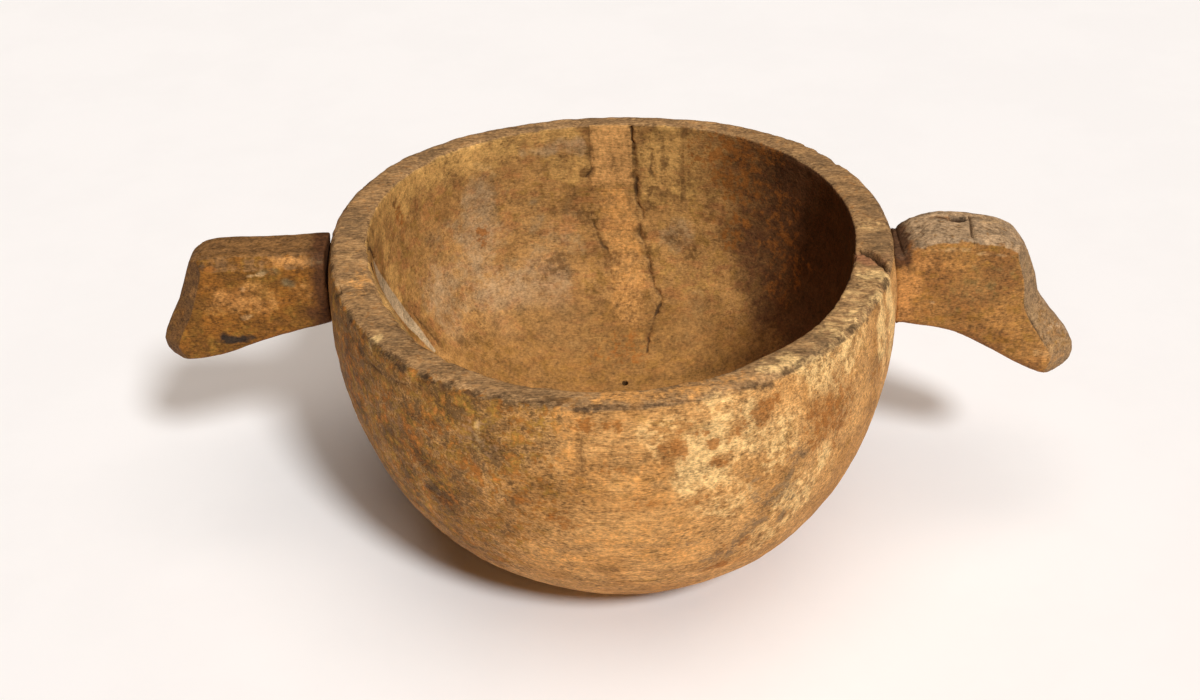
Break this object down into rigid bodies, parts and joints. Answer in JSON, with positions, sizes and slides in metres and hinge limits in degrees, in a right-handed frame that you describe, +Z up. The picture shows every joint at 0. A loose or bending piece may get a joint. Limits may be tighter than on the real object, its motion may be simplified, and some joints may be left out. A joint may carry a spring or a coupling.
{
  "type": "milking cup",
  "caption": "Round-bottomed wooden milking cup with a thick rim and a hooked lug handle wedged into the wall at each side.",
  "frame": {"origin": "centre of the flat foot, on the surface that the cup stands on", "axes": "+Z up through the mouth, +X towards the right handle as pictured, -Y towards the viewer"},
  "size_m": [0.2476, 0.1531, 0.0879],
  "materials": {
    "bowl_wood": "aged, dry, unvarnished, stained",
    "handle_wood": "aged, handled smooth, unvarnished",
    "wedge_wood": "split wood, dry"
  },
  "bodies": {
    "root": {"bowl": "bowl_wood", "left_handle": "handle_wood", "right_handle": "handle_wood", "left_handle_wedge": "wedge_wood", "right_handle_wedge": "wedge_wood"}
  },
  "joints": []
}
